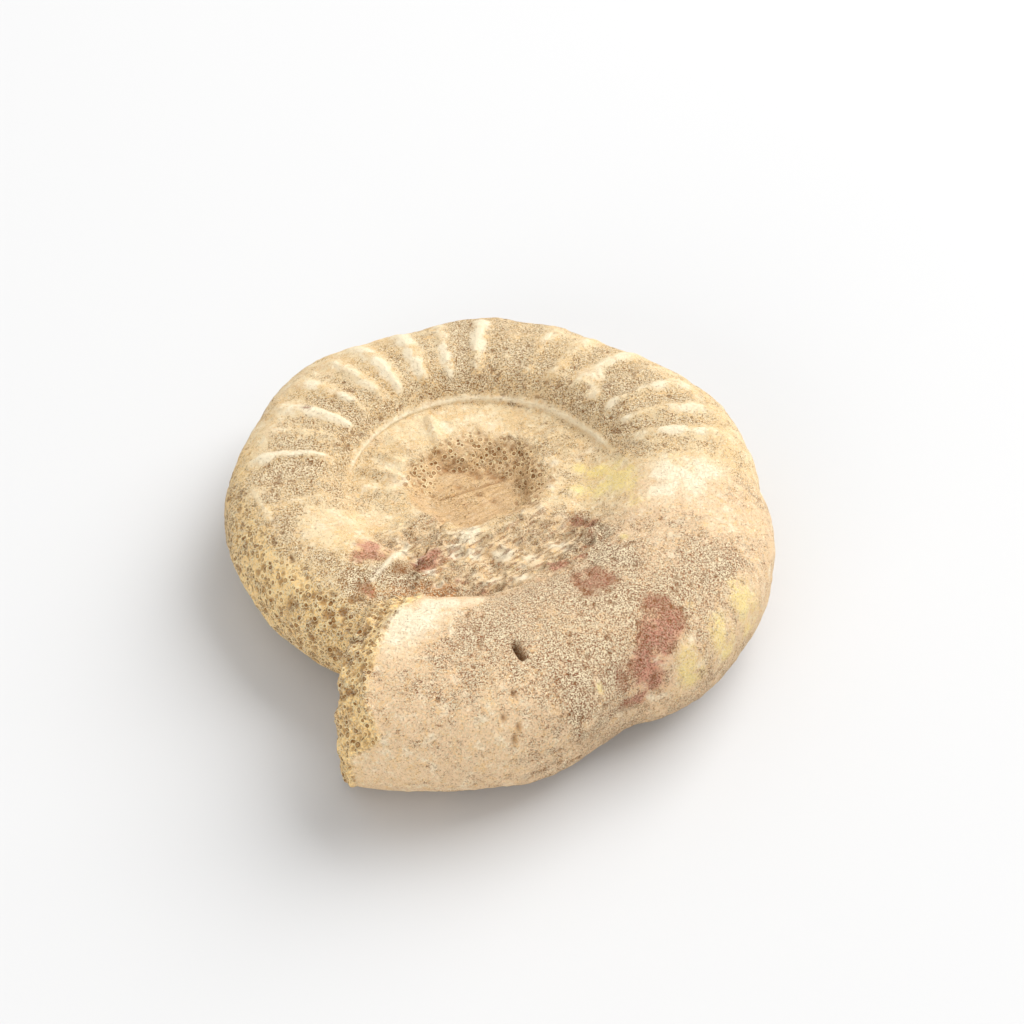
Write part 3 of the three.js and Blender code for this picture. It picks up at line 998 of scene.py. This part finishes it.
# the colour of the painted highlight on the pores' rims
PORE_RIM_HIGHLIGHT = shade(255, 238, 190)
RIM_HIGHLIGHT_COVER = 0.8
PORES_PER_MM = 0.85
PORE_TEAR = 0.25
PORE_RUN = (0.24, 0.3, 1.0, 0.0)
PORE_MIDDLE_RUN = (0.08, 0.2, 1.0, 0.0)
RIM_HIGHLIGHT_STARTS = (0.3, 0.34)
RIM_HIGHLIGHT_ENDS = (0.36, 0.44, 1.0, 0.0)
PORE_COVER = 0.75
PORE_MIDDLE_LIGHT = -0.35  # a pore's floor catches light, so its middle is covered less

# How much each pattern stands out
GLINT_BUMP = 0.6
SPECK_BUMP = -1.0
TORN_BUMP = 1.2
LINE_BUMP = -1.5
PORE_BUMP = -1.2
BUMP_DISTANCE = 0.3 * MM
BUMP_STRENGTH = 0.8
ROUGHNESS_RUN = (0.3, 0.7, 0.82, 0.97)
STONE_SPECULAR = 0.25


class Patterns:
    """The patterns that cover the stone, and the noises that they share: torn and fine."""

    def __init__(self, nodes):
        self.rosy = nodes.mark("rosy")
        self.torn = nodes.noise(*TORN_NOISE)
        self.fine = nodes.noise(*FINE_NOISE)
        clumps = nodes.sum(nodes.mark("grain"), nodes.noise(*CLUMP_NOISE), CLUMP_SHARE)
        self.clumps = nodes.step(clumps, *CLUMP_RUN)
        self.specks = self.find_specks(nodes)
        self.glints = self.find_glints(nodes)
        rough = nodes.sum(nodes.mark("rough"), nodes.mark("pit"), LINES_IN_PIT)
        lines = nodes.drawn_out(LINE_DEGREES, LINE_STRETCH, *LINE_NOISE)
        self.lines = nodes.times(nodes.step(lines, *LINE_RUN), rough)
        porous = nodes.sum(nodes.mark("honey"), nodes.mark("wall"))
        distance = nodes.sum(nodes.cells(PORES_PER_MM), self.torn, PORE_TEAR)
        self.pores = nodes.times(nodes.step(distance, *PORE_RUN), porous)
        self.pore_middles = nodes.times(nodes.step(distance, *PORE_MIDDLE_RUN), porous)
        # pale rims round the pores: painted highlights
        rim_highlights = nodes.times(nodes.step(distance, *RIM_HIGHLIGHT_STARTS), nodes.step(distance, *RIM_HIGHLIGHT_ENDS))
        self.rim_highlights = nodes.times(rim_highlights, porous)

    def find_specks(self, nodes):
        specks = nodes.step(nodes.sum(self.fine, self.clumps, SPECKS_IN_CLUMPS), *SPECK_RUN)
        return nodes.times(specks, nodes.step(self.clumps, *SPECK_COVER))

    def find_glints(self, nodes):
        glints = nodes.sum(nodes.noise(*GLINT_NOISE), self.clumps, GLINTS_IN_CLUMPS)
        glints = nodes.step(glints, *GLINT_RUN)
        glints = nodes.times(glints, nodes.step(nodes.mark("pit"), *GLINTS_IN_PIT))
        return nodes.times(glints, nodes.step(nodes.mark("red"), *GLINTS_IN_RED))


def bare_colour(nodes, rosy):
    """Cream and tan stone with patches of other tints, browner in the pit and yellower where it is porous."""
    colour = nodes.mix(nodes.step(nodes.noise(*TAN_NOISE), *TAN_RUN), CREAM, TAN)
    colour = nodes.mix(rosy, colour, ROSE)
    for tint, noise, run in PATCHES:
        colour = nodes.mix(nodes.step(nodes.noise(*noise), *run), colour, tint)
    colour = nodes.mix(nodes.times(nodes.mark("pit"), PIT_COVER), colour, PIT_BROWN)
    return nodes.mix(nodes.mark("honey"), colour, HONEY)


def stained(nodes, colour, torn):
    """Stains with torn edges."""
    for name, tint, most in STAIN_COLOURS:
        share = nodes.step(nodes.sum(nodes.mark(name), torn, TORN_SHARE), *STAIN_RUN, 0.0, most)
        colour = nodes.mix(share, colour, tint)
    return colour


def pored(nodes, colour, patterns):
    """Dark brown pores and pits, partly their fill and partly painted shade, with painted highlights round
    the rims of those of the porous stone.
    """
    # Dark brown in the marked pores, pits, hole and cracks: partly fill, partly painted shade
    colour = nodes.mix(nodes.times(nodes.mark("hollow_fill_and_shade"), HOLLOW_FILL_AND_SHADE_COVER), colour, HOLLOW_FILL_AND_SHADE)
    share = nodes.sum(nodes.times(patterns.pores, PORE_COVER), patterns.pore_middles, PORE_MIDDLE_LIGHT)
    colour = nodes.mix(share, colour, HOLLOW_FILL_AND_SHADE)
    # painted highlights on the rims of the pores
    return nodes.mix(nodes.times(patterns.rim_highlights, RIM_HIGHLIGHT_COVER), colour, PORE_RIM_HIGHLIGHT)


def stone_colour(nodes, patterns):
    rosy = patterns.rosy
    colour = bare_colour(nodes, rosy)
    earth = nodes.mix(rosy, EARTH, DULL_EARTH)
    colour = nodes.mix(nodes.times(patterns.clumps, EARTH_COVER), colour, earth)
    colour = stained(nodes, colour, patterns.torn)
    colour = nodes.mix(nodes.times(patterns.lines, RUST_COVER), colour, RUST)
    colour = nodes.mix(patterns.specks, colour, nodes.mix(rosy, SPECK, DULL_SPECK))
    colour = nodes.mix(patterns.glints, colour, GLINT)
    return pored(nodes, colour, patterns)


def stone_bump(nodes, patterns):
    """The surface's direction, bumpy with glints and torn stone, and dented by specks, lines and pores."""
    height = nodes.times(patterns.glints, GLINT_BUMP)
    for pattern, share in (
        (patterns.specks, SPECK_BUMP),
        (patterns.torn, TORN_BUMP),
        (patterns.lines, LINE_BUMP),
        (patterns.pores, PORE_BUMP),
    ):
        height = nodes.sum(height, pattern, share)
    return nodes.bump(height, BUMP_DISTANCE, BUMP_STRENGTH)


def limestone():
    material = bpy.data.materials.new("limestone")
    nodes = Nodes(material)
    patterns = Patterns(nodes)
    shader = {
        "Base Color": stone_colour(nodes, patterns),
        "Roughness": nodes.step(patterns.fine, *ROUGHNESS_RUN),
        "Specular IOR Level": STONE_SPECULAR,
        "Normal": stone_bump(nodes, patterns),
    }
    nodes.fill(nodes.shader, shader)
    return material


# ---- Studio ----------------------------------------------------------------------------------------------

FLOOR_SIZE = 6.0
FLOOR_WHITE = 0.66
SKY_LIGHT = 0.66
KEY_AZIMUTH = math.radians(40)
KEY_ELEVATION = math.radians(44)
KEY_DISTANCE = 2.5
KEY_SIZE = 2.2
KEY_POWER = 80.0
FILL_AZIMUTH = math.radians(-118)
FILL_ELEVATION = math.radians(13)
FILL_DISTANCE = 1.6
FILL_SIZE = 1.2
FILL_POWER = 12.0

CAMERA_AZIMUTH = math.radians(-90)
CAMERA_ELEVATION = math.radians(45.96)
CAMERA_DISTANCE = 0.3529
CAMERA_FIELD = math.radians(30)
CAMERA_AIM = Vector((0.00288, 0.00535, 0.012))
CAMERA_NEAREST = 0.0035


def towards(azimuth, elevation):
    level = math.cos(elevation)
    return Vector((level * math.cos(azimuth), level * math.sin(azimuth), math.sin(elevation)))


def look(thing, place, aim):
    thing.location = place
    thing.rotation_euler = (aim - place).to_track_quat("-Z", "Y").to_euler()
    bpy.context.scene.collection.objects.link(thing)


def soft_light(name, azimuth, elevation, distance, size, power, aim):
    data = bpy.data.lights.new(name, "AREA")
    data.size = size
    data.energy = power
    look(bpy.data.objects.new(name, data), aim + towards(azimuth, elevation) * distance, aim)


def floor():
    bpy.ops.mesh.primitive_plane_add(size=FLOOR_SIZE)
    plane = bpy.context.object
    plane.name = "floor"
    paper = bpy.data.materials.new("paper")
    nodes = Nodes(paper)
    white = (FLOOR_WHITE, FLOOR_WHITE, FLOOR_WHITE, 1)
    nodes.fill(nodes.shader, {"Base Color": white, "Roughness": 1.0, "Specular IOR Level": 0.0})
    plane.data.materials.append(paper)


def studio():
    scene = bpy.context.scene
    scene.view_settings.view_transform = "Standard"
    world = bpy.data.worlds.new("studio")
    world.use_nodes = True
    sky = world.node_tree.nodes["Background"]
    sky.inputs["Color"].default_value = (1, 1, 1, 1)
    sky.inputs["Strength"].default_value = SKY_LIGHT
    scene.world = world
    middle = (cad_low + cad_high) / 2
    soft_light("key", KEY_AZIMUTH, KEY_ELEVATION, KEY_DISTANCE, KEY_SIZE, KEY_POWER, middle)
    soft_light("fill", FILL_AZIMUTH, FILL_ELEVATION, FILL_DISTANCE, FILL_SIZE, FILL_POWER, middle)


def camera():
    data = bpy.data.cameras.new("camera")
    data.angle = CAMERA_FIELD
    data.clip_start = CAMERA_NEAREST
    place = CAMERA_AIM + towards(CAMERA_AZIMUTH, CAMERA_ELEVATION) * CAMERA_DISTANCE
    thing = bpy.data.objects.new("camera", data)
    look(thing, place, CAMERA_AIM)
    bpy.context.scene.camera = thing


camera()
floor()
studio()
stone = fossil()
stone.data.materials.append(limestone())
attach(stone, "root")
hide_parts("ammonite")
